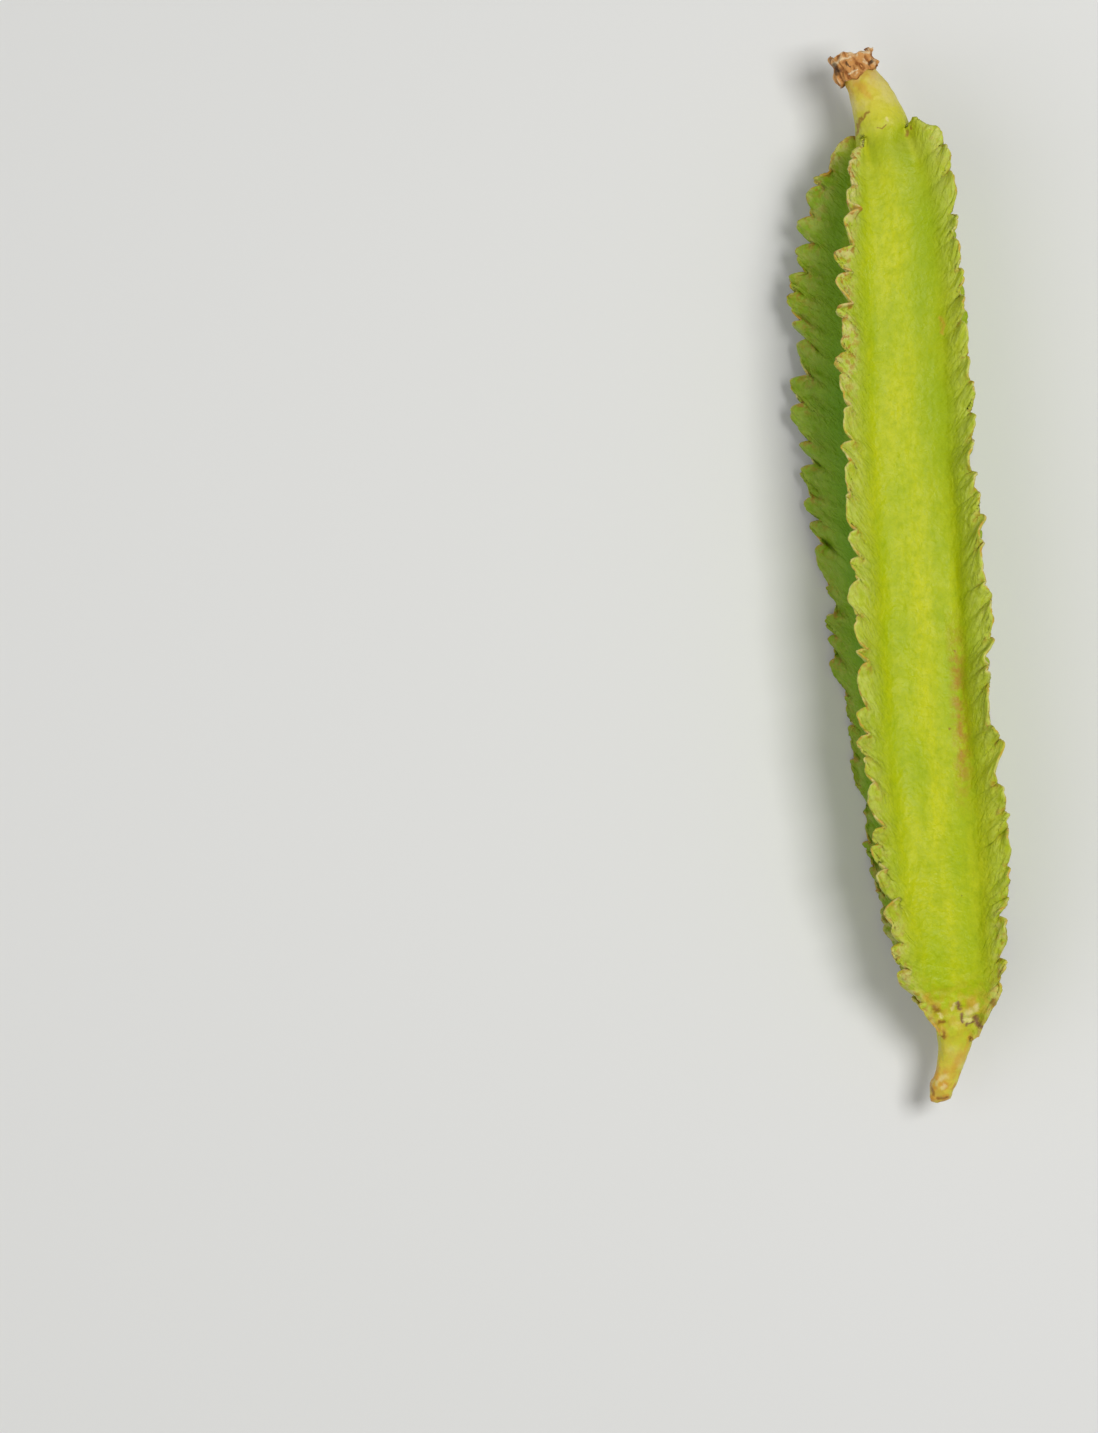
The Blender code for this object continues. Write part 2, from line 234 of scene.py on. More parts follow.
# Where each use of the noise lies in it.
SEEDS = {
    "ruffle": 3.1, "pucker": 7.3, "curl": 11.7, "warp": 15.3, "nibble": 23.9,
    "small_stray": 31.3, "small_depth": 41.1, "calyx_tear": 5.0, "calyx_crease": 9, "calyx_lift": 20,
}
NOISE_GAIN = 1.6

# Softness of the hollow between a wing's root and the body, by wing and distance: 0 to 1.
SOFT_PASSES = 34
SOFT_ROOT = [
    [(11, 0.0), (22, 0.8), (60, 0.8), (76, 0.3), (100, 0.3), (112, 0.75), (136, 0.75), (144, 0.2)],
    [(11, 0.0), (22, 0.9), (136, 0.9), (144, 0.2)],
    [(11, 0.0), (22, 0.5), (136, 0.5), (144, 0.2)],
    [(11, 0.0), (22, 0.5), (136, 0.5), (144, 0.2)],
]
SOFT_REACH = 0.62  # the share of a blade's width that softens

# The height of the skin's small bumps at both ends, by distance from the stem end.
RELIEF = [
    (-4, 0.1), (3, 0.13), (7, 0.05), (14, 0), (132, 0), (138, 0.2), (142, 0.24), (145, 0.07),
    (149.5, 0.12), (151.5, 0.22), (153.5, 0.3),
]
RELIEF_SIZE = 1.5
RELIEF_GRAIN = 0.45  # how high bumps of half that size are
RELIEF_FADE = 0.7  # how much lower they are at a wing's margin
SWELL = (7.0, 0.16)  # size and height of the slow unevenness of the whole skin
FACING = 3  # how soon a slope counts as facing up
# Lumps and dents of the upper skin: place across, distance, radius, height.
LUMPS = [
    (-2.9, 9.3, 0.28, 0.4), (-3.3, 10.3, 0.6, -0.16), (-5.4, 12.1, 1.5, -0.45),
    (-0.6, 11.9, 1.5, -0.45), (-2.7, 13.4, 1.2, 0.3), (-2.3, 15.8, 1.3, 0.32), (-1.9, 18.6, 1.4, 0.26),
    (-1.6, 21.6, 1.4, 0.16), (9.3, 140.4, 0.55, 0.55), (9.4, 141.7, 0.5, 0.5), (7.6, 139.0, 0.5, 0.45),
    (10.6, 141.3, 0.6, -0.6), (8.3, 139.8, 0.5, -0.45), (9.8, 139.1, 0.6, 0.35),
    (4.6, 139.4, 0.55, 0.4), (5.0, 141.5, 0.5, 0.35), (5.8, 143.4, 0.5, 0.3), (4.9, 140.5, 0.4, -0.35),
]

# The calyx: a dry, torn cup round the neck's end. Each row is distance, radius, raggedness.
NECK_GAP = 0.32
SOCKET_FLOOR = NECK_START - NECK_GAP
CALYX_PROFILE = [
    (SOCKET_FLOOR, 2.0, 0.0), (SOCKET_FLOOR + 0.05, 2.85, 0.0), (2.6, 2.95, 0.3), (2.8, 3.25, 0.6),
    (1.9, 3.4, 0.4), (0.9, 3.15, 0.2), (0.1, 3.3, 0.7), (-0.4, 3.15, 1.0), (-0.25, 2.6, 0.9),
    (0.4, 2.3, 0.3), (0.6, 1.3, 0.1),
]
CALYX_SEED = 7
CALYX_SIDES = 20
CALYX_TEAR = 0.6  # how far the torn rim strays along the spine
CALYX_WRINKLE = 0.3
CALYX_FINE_SIDES = 160
CALYX_FINE_ROWS = 76
CALYX_CRUMPLED = (1.5, 10)  # the rows of its profile that are crumpled
RIM_TEAR = (0.45, 1.1, 0.35)  # share of large tears, small ones for each mm, their share
# Its crumples: size, size in rows of the profile, height.
CALYX_LUMP = (1.1, 1.6, 0.36)
CALYX_CREASE = (0.7, 1.6, 0.36)
CALYX_LIFT = (1.6, 3, 0.3)
# The row and width of its pale edge and dark lip, and how dark the lip is. The lip's dark is part its own
# dark edge and part painted shade where it meets the neck.
CALYX_EDGE = (7.2, 0.9)
CALYX_LIP_AND_SHADE = (2.5, 0.45, 0.8)
# Its crumples also set painted shade in their valleys and a painted highlight on their ridges.
CALYX_DEPTH = (0.12, 1.2)  # the level and scale of its crumples in the finish

# How strong each finish of the skin is, by distance from the stem end.
RIPE = [
    (0, 1), (5, 1), (8, 0.7), (11, 0.2), (16, 0.1), (24, 0), (138, 0), (143, 0.35), (149, 0.85),
    (153, 1),
]
WITHER = [(0, 0.9), (2, 0.5), (5, 0), (134, 0), (140, 0.4), (144, 0.15), (148, 0.3), (150, 0.9), (153, 1)]
GOLD = [(0, 1), (3, 1), (5.5, 0.4), (8, 0)]
# Painted shade of the upper skin: on the body beside the upper right wing, which shades it, and in a band
# just past the neck.
PAINTED_SHADE_BESIDE = [(12, 0.5), (30, 0.6), (60, 0.5), (80, 0.2), (112, 0.15)]
PAINTED_SHADE_COLLAR = (13.5, 3.2, 0.7)  # its middle, spread and strength
PAINTED_SHADE_ENDS = [(9, 0), (12, 1), (138, 1), (143, 0)]
# Painted shade: deep green on the lower wings and the faces beside them, which lie in shade under the pod.
UNDER_SHADE_ENDS = [(10, 0), (16, 0.85), (36, 0.85), (50, 1), (136, 1), (143, 0)]
# The wings' milky tint: part their own paler tone, part painted highlight on their crests.
MILKY_AND_HIGHLIGHT_FADE = [(92, 1), (115, 0.6)]
CREASE_ENDS = [(80, 0), (90, 1), (104, 1), (112, 0)]
# The same for each wing, and by row from its root to its margin.
UNDER_SHADE_MOST = np.array([0.0, 0.0, 0.95, 0.6])
UNDER_SHADE_ROWS = [(0, 0.4), (0.35, 1), (1, 0.7)]
UNDER_SHADE_FACE = 0.4  # on the body, against the wings
MILKY_AND_HIGHLIGHT_MOST = (0.95, 0.95, 0.3, 0.3)
NOTCH_ROWS = (0.7, 0.95)  # where a notch turns brown
# How far it spreads: in millimetres along the pod, or in shares of a face or a blade.
NOTCH_SPREAD = 0.7
# The painted highlight band along the middle of the upper face.
HIGHLIGHT_SPREAD = (0.52, 0.2)  # middle, spread
PAINTED_SHADE_SPREAD = (0.32, 0.45)  # over the face, up the blade
CREASE_SPREAD = (0.13, 0.3)
PAINTED_SHADE_MOST = 0.9
WEAVE_GAP = 50.0  # keeps the wings' woven noise apart


def level(table, places):
    """A table's values at the places, on straight lines between its rows."""
    return np.interp(places, *zip(*table))


def bell(apart, width):
    """1 in the middle, falling softly to 0 to either side."""
    return np.exp(-((apart / width) ** 2))


def beyond(share, start):
    """0 up to a start, then evenly up to 1 at the end."""
    return np.clip((share - start) / (1 - start), 0, 1)


def smooth(table, s, column=1):
    """One column of a table at the distances s, on a smooth curve through its rows."""
    knots = np.array([row[0] for row in table], float)
    values = np.array([row[column] for row in table], float)
    slopes = np.gradient(values, knots)
    s = np.clip(s, knots[0], knots[-1])
    i = np.clip(np.searchsorted(knots, s, side="right") - 1, 0, len(knots) - 2)
    gap = knots[i + 1] - knots[i]
    f = (s - knots[i]) / gap
    return (
        values[i] * (1 + 2 * f) * (1 - f) ** 2
        + values[i + 1] * f**2 * (3 - 2 * f)
        + gap * (slopes[i] * f * (1 - f) ** 2 - slopes[i + 1] * f**2 * (1 - f))
    )


def spine_point(s):
    """The spine at the distances s."""
    return np.stack([smooth(SPINE, s, 1), -np.asarray(s, float), smooth(SPINE, s, 2)], axis=-1)


def unit(vectors):
    """The vectors, each of length one."""
    return vectors / np.maximum(np.linalg.norm(vectors, axis=-1, keepdims=True), 1e-9)


def in_section(s, across, above):
    """Points of the sections at the distances s, from their places across and above the spine."""
    step = 0.25
    along = unit(spine_point(s + step) - spine_point(s - step))
    right = unit(np.cross([0.0, 0.0, 1.0], along))
    up = np.cross(along, right)
    return spine_point(s) + across[..., None] * right + above[..., None] * up


def on_body(s, degrees, share=1.0):
    """Points on the body's skin at the distances s, in the directions given."""
    angle = np.radians(degrees)
    radius = smooth(BODY_RADIUS, s) * share
    return in_section(s, radius * np.cos(angle), radius * np.sin(angle))


def noise_at(x, y, z):
    """Smooth noise from about -1 to 1 at the places given, the same on every run."""
    x, y, z = np.broadcast_arrays(x, y, z)
    places = zip(x.ravel(), y.ravel(), z.ravel())
    return np.array([noise.noise(place) for place in places]).reshape(x.shape) * NOISE_GAIN


def uneven(sizes, along, across, seed):
    """Noise with a size along, a size across and a height, at places on a blade."""
    return sizes[2] * noise_at(along / sizes[0], across / sizes[1], seed)


def make_frills(wing):
    """The random sizes of one wing's teeth, the same on every run."""
    draw = random.Random(FRILL_SEED + wing)
    count = TEETH + 2
    return {
        "jitter": np.array([draw.uniform(-TOOTH_JITTER, TOOTH_JITTER) for _ in range(count)]),
        "depth": np.array([draw.uniform(*NOTCH_DEPTH) for _ in range(count)]),
        "reach": np.array([draw.uniform(-LOBE_REACH, LOBE_REACH) for _ in range(count)]),
        "bulge": np.array([draw.uniform(*LOBE_BULGE) for _ in range(count)]),
        "tilt": np.array([draw.uniform(-LOBE_TILT, LOBE_TILT) for _ in range(count)]),
        "phase": [draw.uniform(0, 2 * np.pi) for _ in SWAY_WAVES],
    }


def notch_distance(q, v, width):
    """How far each point of a blade lies from the nearest furrow."""
    place = q - FURROW_SLANT * width * (1 - v) / TOOTH_PITCH
    return np.abs(place - np.round(place)) * TOOTH_PITCH


def notch_sides(u, slope):
    """How deep the notches before and after a tooth reach into it at the share u of its length."""
    return (1 - np.clip(u / slope, 0, 1)) ** 2, beyond(u, BEAK_SLOPE) ** 2


def folds(wing, q, v, width):
    """How far a fine blade's folds push it out of its sheet."""
    along = q * TOOTH_PITCH
    across = v * width
    slanted = along + FURROW_SLANT * across
    fray = level(FRAY[wing], WING_START + along)
    shifted = slanted + uneven(WARP, slanted, across, SEEDS["warp"] + wing)
    pucker = uneven(PUCKER, shifted, across, SEEDS["pucker"] + wing)
    ruffle = uneven(RUFFLE, slanted, across, SEEDS["ruffle"] + wing)
    rib = RIB[1] * np.sin(2 * np.pi * shifted / RIB[0])
    whole, torn = CURL_WAVES
    waves = noise_at(along / (whole + (torn - whole) * fray), 0.0, SEEDS["curl"] + wing)
    curl = CURL * (1 + CURL_TORN * fray) * waves * beyond(v, CURL_START) ** 2
    furrow = FURROW_DEPTH * bell(notch_distance(q, v, width), FURROW_WIDTH)
    out = (pucker + rib) * beyond(v, FOLD_START) + ruffle * v**2 + curl - furrow * v**3
    return np.clip(width / FOLD_WIDTH, 0, 1) * out


def small_teeth(wing, q, v, width):
    """How far a fine blade's margin strays, with its small teeth."""
    along = q * TOOTH_PITCH
    fray = level(FRAY[wing], WING_START + along)
    stray = noise_at(along / SMALL_STRAY[0], 0.0, SEEDS["small_stray"] + wing)
    tooth = (along / SMALL_TEETH[0] + SMALL_STRAY[1] * stray) % 1
    change = noise_at(along / SMALL_CHANGE, 0.0, SEEDS["small_depth"] + wing)
    depth = SMALL_TEETH[1] * (0.5 + 0.5 * change) * (1 + fray)
    nibble = NIBBLE[1] * (1 + fray) * noise_at(along / NIBBLE[0], 0.0, SEEDS["nibble"] + wing)
    reach = nibble - depth * np.maximum(*notch_sides(tooth, SMALL_SLOPE))
    return reach * v**MARGIN_POWER * np.clip(width / SMALL_WIDTH, 0, 1)


def ear(v):
    """How far the upper right wing's ear stands up at the rows v, with the dent beside it."""
    height = EAR[0] * bell(v - EAR[1], np.where(v < EAR[1], EAR[2], EAR[3]))
    return height - EAR_DENT[0] * bell(v - EAR_DENT[1], EAR_DENT[2])


def lay_out(wing, start, v, s, heading, reach, out):
    """A wing's sheet from its heading in degrees, its reach from the root, and its puffing out."""
    root = np.radians(smooth(WINGS[wing], start, 1))
    bend = np.radians(smooth(WINGS[wing], start, 3)) * v
    heading = np.radians(heading) + bend / 2
    chord = reach * np.sinc(bend / 2 / np.pi)
    radius = smooth(BODY_RADIUS, start) * ROOT_DEPTH
    normal = heading + bend / 2 + np.pi / 2
    across = radius * np.cos(root) + chord * np.cos(heading) + out * np.cos(normal)
    above = radius * np.sin(root) + chord * np.sin(heading) + out * np.sin(normal)
    return in_section(s, across, above)


def wing_sheet(wing, q, v, fine):
    """The middle sheet of a wing: points at tooth counts q along it and at rows v across it.

    A tooth starts at a deep notch on its stem side, steps out to a round lobe, and falls back
    slowly towards the beak. The notches run on into the sheet as furrows between puffed lobes.
    """
    frills = make_frills(wing)
    table = WINGS[wing]
    q = np.asarray(q, float)[:, None]
    v = np.asarray(v, float)[None, :]
    tooth = np.clip(np.floor(q).astype(int), 0, TEETH)
    u = np.maximum(q - tooth, 0)
    start = WING_START + q * TOOTH_PITCH
    before = tooth + frills["jitter"][tooth]
    after = tooth + 1 + frills["jitter"][tooth + 1]
    drawn = before + (after - before) * u**TOOTH_SKEW + np.minimum(q, 0)
    margin = WING_START + TOOTH_PITCH * drawn
    past = np.maximum(np.maximum(-q, q - TEETH), 0) / ROUND_TEETH
    rounded = np.clip(1 - past**2, 0, 1)
    width = smooth(table, start, 4) * np.sqrt(rounded)
    set_back = SET_BACK[wing] * np.exp(-np.maximum(q, 0) / SET_BACK_TEETH)
    s = start + (margin - start + set_back) * v**2 - LEAN * width * v**LEAN_POWER

    stem_side, beak_side = notch_sides(u, STEM_SLOPE)
    notch = frills["depth"][tooth] * stem_side + frills["depth"][tooth + 1] * beak_side
    if fine:
        notch = notch * level(DEEPER[wing], start)
        width = width * np.interp(start, GROW_STRETCH, (1.0, 1 + GROW[wing]))
    lobe = np.sin(np.pi * u)
    reach = width * (v + frills["reach"][tooth] * lobe * v**2 - notch * v**3)

    puff = v**PUFF_POWER * np.clip(width / PUFF_WIDTH, 0, 1)
    bulge = frills["bulge"][tooth]
    drop = bulge + (frills["bulge"][tooth + 1] - bulge) * u
    out = puff * (bulge * lobe - drop / 2 + frills["tilt"][tooth] * np.sin(2 * np.pi * u))
    sway = sum(np.sin(2 * np.pi * start / wave + p) for wave, p in zip(SWAY_WAVES, frills["phase"]))
    heading = smooth(table, start, 2) + SWAY * sway / len(SWAY_WAVES)
    if not fine:
        return lay_out(wing, start, v, s, heading, reach, out)

    out = out + folds(wing, q, v, width)
    reach = reach + small_teeth(wing, q, v, width)
    if table is UPPER_RIGHT:
        s = s - ear(v) * np.exp(-np.maximum(q, 0) / EAR_TEETH) * rounded
    sheet = lay_out(wing, start, v, s, heading + level(TURN[wing], start), reach, out)
    over = sheet[..., 2] - FLOOR_GAP
    sheet[..., 2] = FLOOR_GAP + (over + np.sqrt(over**2 + FLOOR_SOFTNESS)) / 2
    return sheet


def blade_thickness(v, root_thickness, fine):
    """A blade's thickness at the rows v: thick at the root, and on a fine one a beaded rim."""
    waist = BLADE_THICKNESS if fine else EDGE_THICKNESS
    thickness = waist + (root_thickness - waist) * (1 - v) ** THICKNESS_POWER
    if not fine:
        return thickness
    bead = (BEAD_THICKNESS - BLADE_THICKNESS) * bell(v - BEAD_PLACE, BEAD_WIDTH)
    rim = np.sqrt(np.clip((1 - v) / RIM_WIDTH, 0, 1))
    return RIM_THICKNESS + (thickness + bead - RIM_THICKNESS) * rim


def wing_sides(wing, q, v, fine):
    """The two faces of a wing's blade: clockwise side, other side."""
    sheet = wing_sheet(wing, q, v, fine)
    normal = unit(np.cross(np.gradient(sheet, axis=1), np.gradient(sheet, axis=0)))
    v = np.asarray(v, float)[None, :]
    start = WING_START + np.asarray(q, float)[:, None] * TOOTH_PITCH
    root_thickness = ROOT_SHARE * smooth(BODY_RADIUS, start)
    half = normal * blade_thickness(v, root_thickness, fine)[..., None] / 2
    return sheet + half, sheet - half


def face_points(wing, s, steps):
    """The body's skin between a wing's root and the next one's."""
    left = np.degrees(np.arcsin(ROOT_SHARE / 2))
    following = (wing + 1) % len(WINGS)
    first = smooth(WINGS[wing], s, 1) + left
    last = smooth(WINGS[following], s, 1) - left + (360 if following == 0 else 0)
    points = []
    for step in steps:
        share = 1 - (1 - smooth(FACE_SHARE, s)) * np.sin(np.pi * step)
        points.append(on_body(s, first + (last - first) * step, share))
    return np.stack(points, axis=1)


def bare_ring(s, grid, share=1.0):
    """A plain round ring of the neck or beak, with its points in step with the winged rings'."""
    s = np.array([s], float)
    columns = []
    for wing, table in enumerate(WINGS):
        root = smooth(table, s, 1)
        for offset in np.linspace(-grid["fan"], grid["fan"], 2 * len(grid["rows"])):
            columns.append(on_body(s, root + offset, share))
        following = (wing + 1) % len(WINGS)
        last = smooth(WINGS[following], s, 1) - grid["fan"] + (360 if following == 0 else 0)
        for step in grid["face"]:
            columns.append(on_body(s, (root + grid["fan"]) * (1 - step) + last * step, share))
    return np.concatenate(columns)


def tooth_counts(grid):
    """Where the rings of the winged stretch stand, in teeth from its first notch."""
    inner = [tooth + phase for tooth in range(TEETH) for phase in grid["phases"]] + [TEETH]
    extra = grid["round_ends"]
    ends = ROUND_TEETH * np.sin(np.linspace(0, np.pi / 2, extra + 1))[1:]
    return np.array([*(-ends[::-1]), *inner, *(TEETH + ends)])


def pod_rings(grid):
    """Every ring of the pod, from the neck's end to the beak."""
    q = tooth_counts(grid)
    s = WING_START + q * TOOTH_PITCH
    columns = []
    for wing in range(len(WINGS)):
        near, far = wing_sides(wing, q, grid["rows"], grid["fine"])
        columns += [near, far[:, ::-1], face_points(wing, s, grid["face"])]
    neck = [bare_ring(place, grid) for place in grid["neck"]]
    beak = [bare_ring(place, grid, share) for place, share in grid["beak"]]
    return np.array([*neck, *np.concatenate(columns, axis=1), *beak])


def pod_places(grid):
    """For each point of the pod's rings: distance, tooth count, row, wing, and side of the blade."""
    q = tooth_counts(grid)
    neck = np.array(grid["neck"], float)
    beak = np.array([place for place, _ in grid["beak"]], float)
    s = np.concatenate([neck, WING_START + q * TOOTH_PITCH, beak])
    count = (s - WING_START) / TOOTH_PITCH
    winged = np.concatenate([np.zeros(len(neck)), np.ones(len(q)), np.zeros(len(beak))])
    rows = np.array(grid["rows"], float)
    steps = len(grid["face"])
    row = np.tile(np.concatenate([rows, rows[::-1], np.zeros(steps)]), len(WINGS))
    side = np.tile([NEAR] * len(rows) + [FAR] * len(rows) + [FACE] * steps, len(WINGS))
    step = np.tile([0.0] * 2 * len(rows) + list(grid["face"]), len(WINGS))
    wing = np.repeat(np.arange(len(WINGS)), 2 * len(rows) + steps)
    shape = (len(s), len(row))
    places = {"s": s[:, None], "q": count[:, None], "side": side, "step": step, "wing": wing}
    places = {name: np.broadcast_to(values, shape) for name, values in places.items()}
    places["row"] = row * winged[:, None]
    places["blade"] = (side != FACE) * winged[:, None]
    return places


def root_softness(places):
    """How much each point of the rings softens into the hollow at a wing's root."""
    levels = [level(table, places["s"]) for table in SOFT_ROOT]
    own = np.choose(places["wing"], levels)
    later = np.choose((places["wing"] + 1) % len(WINGS), levels)
    on_face = own * (1 - places["step"]) + later * places["step"]
    on_blade = own * np.clip(1 - places["row"] / SOFT_REACH, 0, 1)
    return np.where(places["step"] > 0, on_face, on_blade)


def soften(rings, weight):
    """Each ring drawn smooth where its weight is high, as skin is drawn over a hollow."""
    for _ in range(SOFT_PASSES):
        middle = (np.roll(rings, 1, axis=1) + np.roll(rings, -1, axis=1)) / 2
        rings = rings + 0.5 * weight[..., None] * (middle - rings)
    return rings


def ring_normals(rings):
    """The outward normal at every point of the rings."""
    along = np.gradient(rings, axis=0)
    around = np.roll(rings, -1, axis=1) - np.roll(rings, 1, axis=1)
    return unit(np.cross(around, along))


def fine_pod():
    """The fine pod's rings, and where each point lies on the pod."""
    rings = pod_rings(FINE)
    places = pod_places(FINE)
    rings = soften(rings, root_softness(places))
    x, y, z = np.moveaxis(rings, -1, 0)
    size = RELIEF_SIZE
    bumps = noise_at(x / size, y / size, z / size)
    bumps += RELIEF_GRAIN * noise_at(x * 2 / size, y * 2 / size, z * 2 / size)
    height = bumps * level(RELIEF, places["s"]) * (1 - RELIEF_FADE * places["row"])
    size, tall = SWELL
    height += tall * noise_at(x / size, y / size / 2, z / size) * (1 - places["row"])
    normals = ring_normals(rings)
    facing = np.clip(normals[..., 2] * FACING, 0, 1)
    for across, s, radius, tall in LUMPS:
        height += tall * facing * np.exp(-((x - across) ** 2 + (y + s) ** 2) / radius**2)
    rings = rings + normals * height[..., None]
    rings[..., 2] = np.maximum(rings[..., 2], SKIN_GAP)
    places["above"] = facing
    return rings, places


def loft(name, rings, shift, attributes, material):
    """A closed mesh through rings of equally many points, with a fan over each end ring."""
    count, sides = rings.shape[:2]
    points = [*rings.reshape(-1, 3), rings[0].mean(axis=0), rings[-1].mean(axis=0)]
    faces = []
    for ring in range(count - 1):
        for side in range(sides):
            a, b = ring * sides + side, ring * sides + (side + 1) % sides
            faces.append((a, b, b + sides, a + sides))
    last_ring = (count - 1) * sides
    for side in range(sides):
        following = (side + 1) % sides
        faces.append((count * sides, following, side))
        faces.append((count * sides + 1, last_ring + side, last_ring + following))
    mesh = bpy.data.meshes.new(name)
    mesh.from_pydata([tuple((point + shift) * MM) for point in points], [], faces)
    for label, values in attributes.items():
        vectors = values.ndim == 3
        flat = values.reshape(count * sides, -1)
        flat = np.concatenate([flat, flat[:1], flat[-1:]]).astype(np.float32)
        layer = mesh.attributes.new(label, "FLOAT_VECTOR" if vectors else "FLOAT", "POINT")
        layer.data.foreach_set("vector" if vectors else "value", flat.ravel())
    mesh.shade_smooth()
    mesh.materials.append(material)
    piece = bpy.data.objects.new(name, mesh)
    bpy.context.scene.collection.objects.link(piece)
    return piece


class Nodes:
    """A material's nodes, made one after another, each call giving the socket it ends in."""

    def __init__(self, name):
        self.material = bpy.data.materials.new(name)
        self.material.use_nodes = True
        self.tree = self.material.node_tree
        self.shader = self.tree.nodes["Principled BSDF"]
        self.place = self.tree.nodes.new("ShaderNodeTexCoord").outputs["Object"]

    def put(self, socket, value):
        """Sets an input to a value, or links it to a socket."""
        if isinstance(value, bpy.types.NodeSocket):
            self.tree.links.new(value, socket)
        elif isinstance(value, tuple) and len(value) == 3 and socket.type == "RGBA":
            socket.default_value = (*value, 1.0)
        else:
            socket.default_value = value

    def add(self, kind, inputs, **settings):
        """A node of one kind, with its settings and inputs."""
        node = self.tree.nodes.new("ShaderNode" + kind)
        for key, value in settings.items():
            setattr(node, key, value)
        for key, value in inputs.items():
            self.put(node.inputs[key], value)
        return node

    def math(self, operation, a, b=0.0):
        """One sum on two values."""
        return self.add("Math", {0: a, 1: b}, operation=operation).outputs[0]

    def times(self, a, b):
        """The product of two values."""
        return self.math("MULTIPLY", a, b)

    def attribute(self, name):
        """A number that the mesh holds for each point."""
        return self.add("Attribute", {}, attribute_name=name).outputs["Fac"]

    def stretched(self, scale):
        """The object's own coordinates, stretched."""
        return self.add("Mapping", {"Vector": self.place, "Scale": scale}).outputs[0]

    def noise(self, size, detail=3.0, stretch=(1.0, 1.0, 1.0), roughness=0.5):
        """Noise from 0 to 1 with blotches of about this size in millimetres."""
        inputs = {
            "Vector": self.stretched(stretch),
            "Scale": 1 / (size * MM),
            "Detail": detail,
            "Roughness": roughness,
        }
        return self.add("TexNoise", inputs).outputs[0]

    def woven(self, across, along):
        """Noise from 0 to 1 drawn out along the ribs of the wings."""
        place = self.add("Attribute", {}, attribute_name="weave").outputs["Vector"]
        place = self.add("Mapping", {"Vector": place, "Scale": (1 / across, 1 / along, 1.0)}).outputs[0]
        inputs = {"Vector": place, "Scale": 1.0, "Detail": 3.0, "Distortion": 1.3}
        return self.add("TexNoise", inputs).outputs[0]

    def ramp(self, value, low, high, bottom=0.0, top=1.0):
        """A soft step of a value between two levels."""
        inputs = {0: value, 1: low, 2: high, 3: bottom, 4: top}
        return self.add("MapRange", inputs, interpolation_type="SMOOTHSTEP").outputs[0]

    def spots(self, size, low, high, bottom=0.0, top=1.0, **settings):
        """Blotches of about this size in millimetres, with soft edges between two noise levels."""
        return self.ramp(self.noise(size, **settings), low, high, bottom, top)

    def mix(self, factor, a, b):
        """Colour a turned into colour b by a factor."""
        node = self.add("Mix", {}, data_type="RGBA")
        for index, value in ((0, factor), (6, a), (7, b)):
            self.put(node.inputs[index], value)
        return node.outputs[2]

    def tint(self, colour, mask, strength, other):
        """The colour turned into another where a mask is, as far as its strength says."""
        return self.mix(self.times(mask, strength), colour, other)

    def finish(self, colour, roughness, bump_height, bump_distance, **constants):
        """The shader's own inputs."""
        bump = self.add("Bump", {"Height": bump_height, "Distance": bump_distance * MM})
        self.put(self.shader.inputs["Base Color"], colour)
        self.put(self.shader.inputs["Roughness"], roughness)
        self.put(self.shader.inputs["Normal"], bump.outputs[0])
        for name, value in constants.items():
            self.put(self.shader.inputs[name.replace("_", " ")], value)
        return self.material


# Colours of the pod and calyx.
BODY_YELLOW = (0.54, 0.57, 0.002)
BODY_GREEN = (0.38, 0.48, 0.0)
BODY_DARK = (0.27, 0.38, 0.0)
NECK_YELLOW = (0.66, 0.58, 0.06)
NECK_GOLD = (0.58, 0.42, 0.04)
# The deep green of the painted shade under the pod; the lower wings are the same green as the rest.
UNDER_SHADE_GREEN = (0.11, 0.30, 0.0)
MILKY_AND_HIGHLIGHT_GREEN = (0.50, 0.58, 0.085)
RIM_CREAM = (0.66, 0.58, 0.22)
RIM_BROWN = (0.42, 0.18, 0.025)
SCAB_BROWN = (0.27, 0.10, 0.015)
BRUISE_PURPLE = (0.18, 0.05, 0.055)
SCAR_CREAM = (0.74, 0.64, 0.28)
SPECK_OLIVE = (0.22, 0.20, 0.01)
WITHER_AND_SHADOW_ORANGE = (0.60, 0.30, 0.035)
CALYX_TAN = (0.60, 0.28, 0.075)
CALYX_BROWN = (0.27, 0.09, 0.015)
CALYX_CREAM = (0.80, 0.62, 0.36)
# The near black of the painted shade in the calyx's hollow.
CALYX_HOLLOW_SHADE = (0.05, 0.025, 0.01)

# Marks of the upper skin, each a ragged stroke: across, distance, the same of its other end,
# and half width.
BROWN_MARKS = [
    (-5.6, 8.4, -6.8, 9.4, 0.22), (-6.8, 9.4, -7.05, 10.6, 0.25), (-7.05, 10.6, -7.35, 11.8, 0.22),
    (0.3, 11.2, 0.1, 11.6, 0.28), (0.6, 10.3, 0.7, 10.6, 0.16), (-10.6, 11.1, -9.7, 12.0, 0.3),
    (-4.3, 10.6, -3.4, 10.8, 0.1), (-3.4, 10.8, -3.1, 10.2, 0.1), (4.2, 139.5, 4.6, 139.8, 0.4),
    (4.9, 141.8, 5.8, 141.7, 0.22), (5.6, 143.2, 5.75, 144.0, 0.24), (9.6, 143.9, 9.9, 144.4, 0.16),
    (13.0, 138.4, 12.8, 139.3, 0.3), (6.3, 98.5, 6.35, 98.5, 0.16), (7.1, 87.0, 7.1, 87.05, 0.12),
    (3.8, 151.2, 4.3, 152.5, 0.22), (5.0, 153.1, 6.2, 152.9, 0.24),
]
